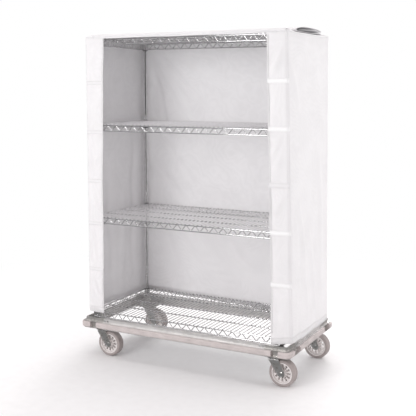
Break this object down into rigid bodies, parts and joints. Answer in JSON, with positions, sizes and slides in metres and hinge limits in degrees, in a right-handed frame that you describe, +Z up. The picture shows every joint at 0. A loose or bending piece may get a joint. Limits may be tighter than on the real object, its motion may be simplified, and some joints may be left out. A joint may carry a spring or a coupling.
{
  "type": "covered linen truck",
  "caption": "Mobile wire shelving truck: grooved posts, wire shelves on split sleeves, fabric cover with an open front, and a bumpered aluminium dolly on swivel casters.",
  "frame": {"origin": "on the floor, at the middle of the truck seen from above", "axes": "+Z up, +X to the right seen from the open front, -Y out of the open front"},
  "size_m": [1.332, 0.684, 1.8847],
  "materials": {
    "chrome_wire": "bright chrome-plated wire",
    "chrome_collar": "bright chrome-plated collar",
    "chrome_post": "bright chrome-plated tube",
    "sleeve_plastic": "moulded plastic",
    "cap_plastic": "moulded plastic",
    "cover_fabric": "close-woven coated fabric, matt",
    "closure_tape": "hook-and-loop tape",
    "rail_aluminium": "satin extruded",
    "cast_aluminium": "tumbled casting",
    "zinc_fastener": "zinc plated",
    "zinc_steel": "bright zinc plated, pressed",
    "bumper_vinyl": "extruded soft vinyl, satin",
    "wheel_plastic": "moulded polyolefin",
    "bushing_nylon": "moulded nylon",
    "tyre_rubber": "non-marking grey rubber"
  },
  "bodies": {
    "truck": {"bottom_shelf_mat": "chrome_wire", "bottom_shelf_trusses": "chrome_wire", "bottom_shelf_collars": "chrome_collar", "lower_shelf_mat": "chrome_wire", "lower_shelf_trusses": "chrome_wire", "lower_shelf_collars": "chrome_collar", "upper_shelf_mat": "chrome_wire", "upper_shelf_trusses": "chrome_wire", "upper_shelf_collars": "chrome_collar", "top_shelf_mat": "chrome_wire", "top_shelf_trusses": "chrome_wire", "top_shelf_collars": "chrome_collar", "split_sleeves": "sleeve_plastic", "post_front_left": "chrome_post", "post_front_right": "chrome_post", "post_rear_left": "chrome_post", "post_rear_right": "chrome_post", "post_caps": "cap_plastic", "cover_top_panel": "cover_fabric", "cover_back_panel": "cover_fabric", "cover_left_side": "cover_fabric", "cover_right_side": "cover_fabric", "cover_front_left_strip": "cover_fabric", "cover_front_right_strip": "cover_fabric", "cover_front_header": "cover_fabric", "cover_door_panel": "cover_fabric", "closure_tapes": "closure_tape", "dolly_rail_front": "rail_aluminium", "dolly_rail_rear": "rail_aluminium", "dolly_rail_left": "rail_aluminium", "dolly_rail_right": "rail_aluminium", "dolly_corner_castings": "cast_aluminium", "rail_bolts": "zinc_fastener", "post_set_screws": "zinc_fastener", "caster_plate_bolts": "zinc_fastener", "caster_king_pins": "zinc_fastener", "bumper_side_strips": "bumper_vinyl", "bumper_end_strips": "bumper_vinyl", "bumper_corners": "bumper_vinyl", "caster_top_plates": "zinc_steel"},
    "swivel_front_left": {"caster_fork_front_left": "zinc_steel", "caster_axle_front_left": "zinc_fastener"},
    "wheel_front_left": {"wheel_core_front_left": "wheel_plastic", "wheel_bushing_front_left": "bushing_nylon", "wheel_tyre_front_left": "tyre_rubber"},
    "swivel_front_right": {"caster_fork_front_right": "zinc_steel", "caster_axle_front_right": "zinc_fastener"},
    "wheel_front_right": {"wheel_core_front_right": "wheel_plastic", "wheel_bushing_front_right": "bushing_nylon", "wheel_tyre_front_right": "tyre_rubber"},
    "swivel_rear_left": {"caster_fork_rear_left": "zinc_steel", "caster_axle_rear_left": "zinc_fastener"},
    "wheel_rear_left": {"wheel_core_rear_left": "wheel_plastic", "wheel_bushing_rear_left": "bushing_nylon", "wheel_tyre_rear_left": "tyre_rubber"},
    "swivel_rear_right": {"caster_fork_rear_right": "zinc_steel", "caster_axle_rear_right": "zinc_fastener"},
    "wheel_rear_right": {"wheel_core_rear_right": "wheel_plastic", "wheel_bushing_rear_right": "bushing_nylon", "wheel_tyre_rear_right": "tyre_rubber"}
  },
  "joints": [
    {"name": "swivel_front_left", "type": "hinge", "parent": "truck", "child": "swivel_front_left", "pos_m": [-0.548, -0.259, 0.148], "axis": [0, 0, 1], "continuous": true},
    {"name": "wheel_front_left_spin", "type": "hinge", "parent": "swivel_front_left", "child": "wheel_front_left", "pos_m": [-0.502, -0.259, 0.074], "axis": [0, 1, 0], "continuous": true},
    {"name": "swivel_front_right", "type": "hinge", "parent": "truck", "child": "swivel_front_right", "pos_m": [0.548, -0.259, 0.148], "axis": [0, 0, 1], "continuous": true},
    {"name": "wheel_front_right_spin", "type": "hinge", "parent": "swivel_front_right", "child": "wheel_front_right", "pos_m": [0.594, -0.259, 0.074], "axis": [0, 1, 0], "continuous": true},
    {"name": "swivel_rear_left", "type": "hinge", "parent": "truck", "child": "swivel_rear_left", "pos_m": [-0.548, 0.259, 0.148], "axis": [0, 0, 1], "continuous": true},
    {"name": "wheel_rear_left_spin", "type": "hinge", "parent": "swivel_rear_left", "child": "wheel_rear_left", "pos_m": [-0.502, 0.259, 0.074], "axis": [0, 1, 0], "continuous": true},
    {"name": "swivel_rear_right", "type": "hinge", "parent": "truck", "child": "swivel_rear_right", "pos_m": [0.548, 0.259, 0.148], "axis": [0, 0, 1], "continuous": true},
    {"name": "wheel_rear_right_spin", "type": "hinge", "parent": "swivel_rear_right", "child": "wheel_rear_right", "pos_m": [0.594, 0.259, 0.074], "axis": [0, 1, 0], "continuous": true}
  ]
}
